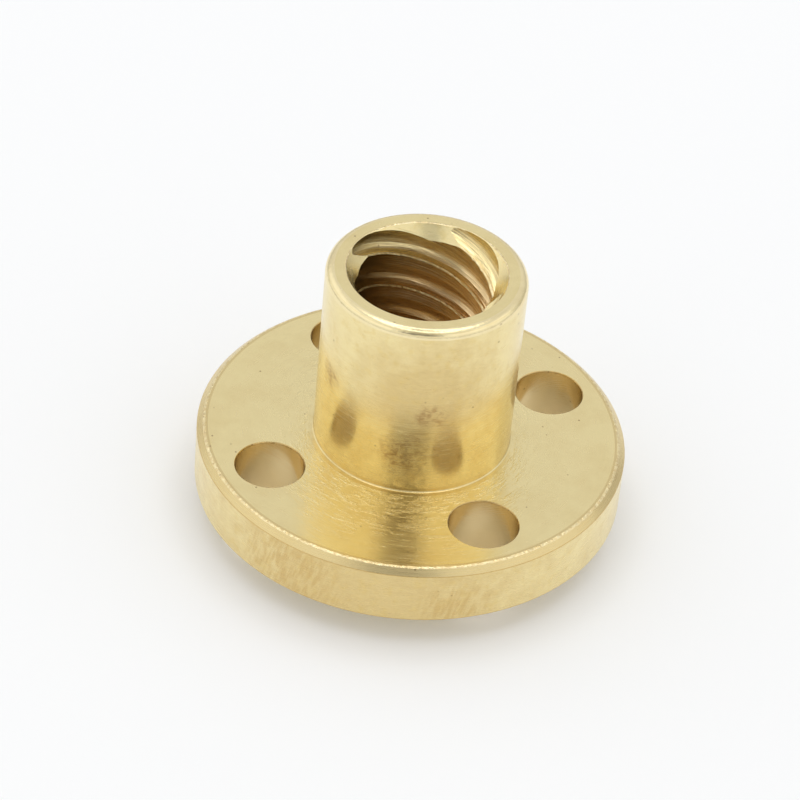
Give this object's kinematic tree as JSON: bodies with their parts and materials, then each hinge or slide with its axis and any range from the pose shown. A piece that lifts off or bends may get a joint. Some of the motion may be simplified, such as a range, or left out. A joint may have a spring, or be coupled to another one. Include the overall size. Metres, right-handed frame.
{
  "type": "lead screw nut",
  "caption": "Round flanged brass nut with a tall threaded hub, a short locating stub and a ring of bolt holes, for a trapezoidal lead screw.",
  "frame": {"origin": "centre of the locating stub's end face, on the thread axis", "axes": "+Z along the thread axis, from the stub towards the hub; +X midway between two bolt holes"},
  "size_m": [0.022, 0.022, 0.015],
  "materials": {
    "brass": "turned, left bright from the tool, with fine turning marks"
  },
  "bodies": {
    "root": {"nut": "brass"}
  },
  "joints": []
}
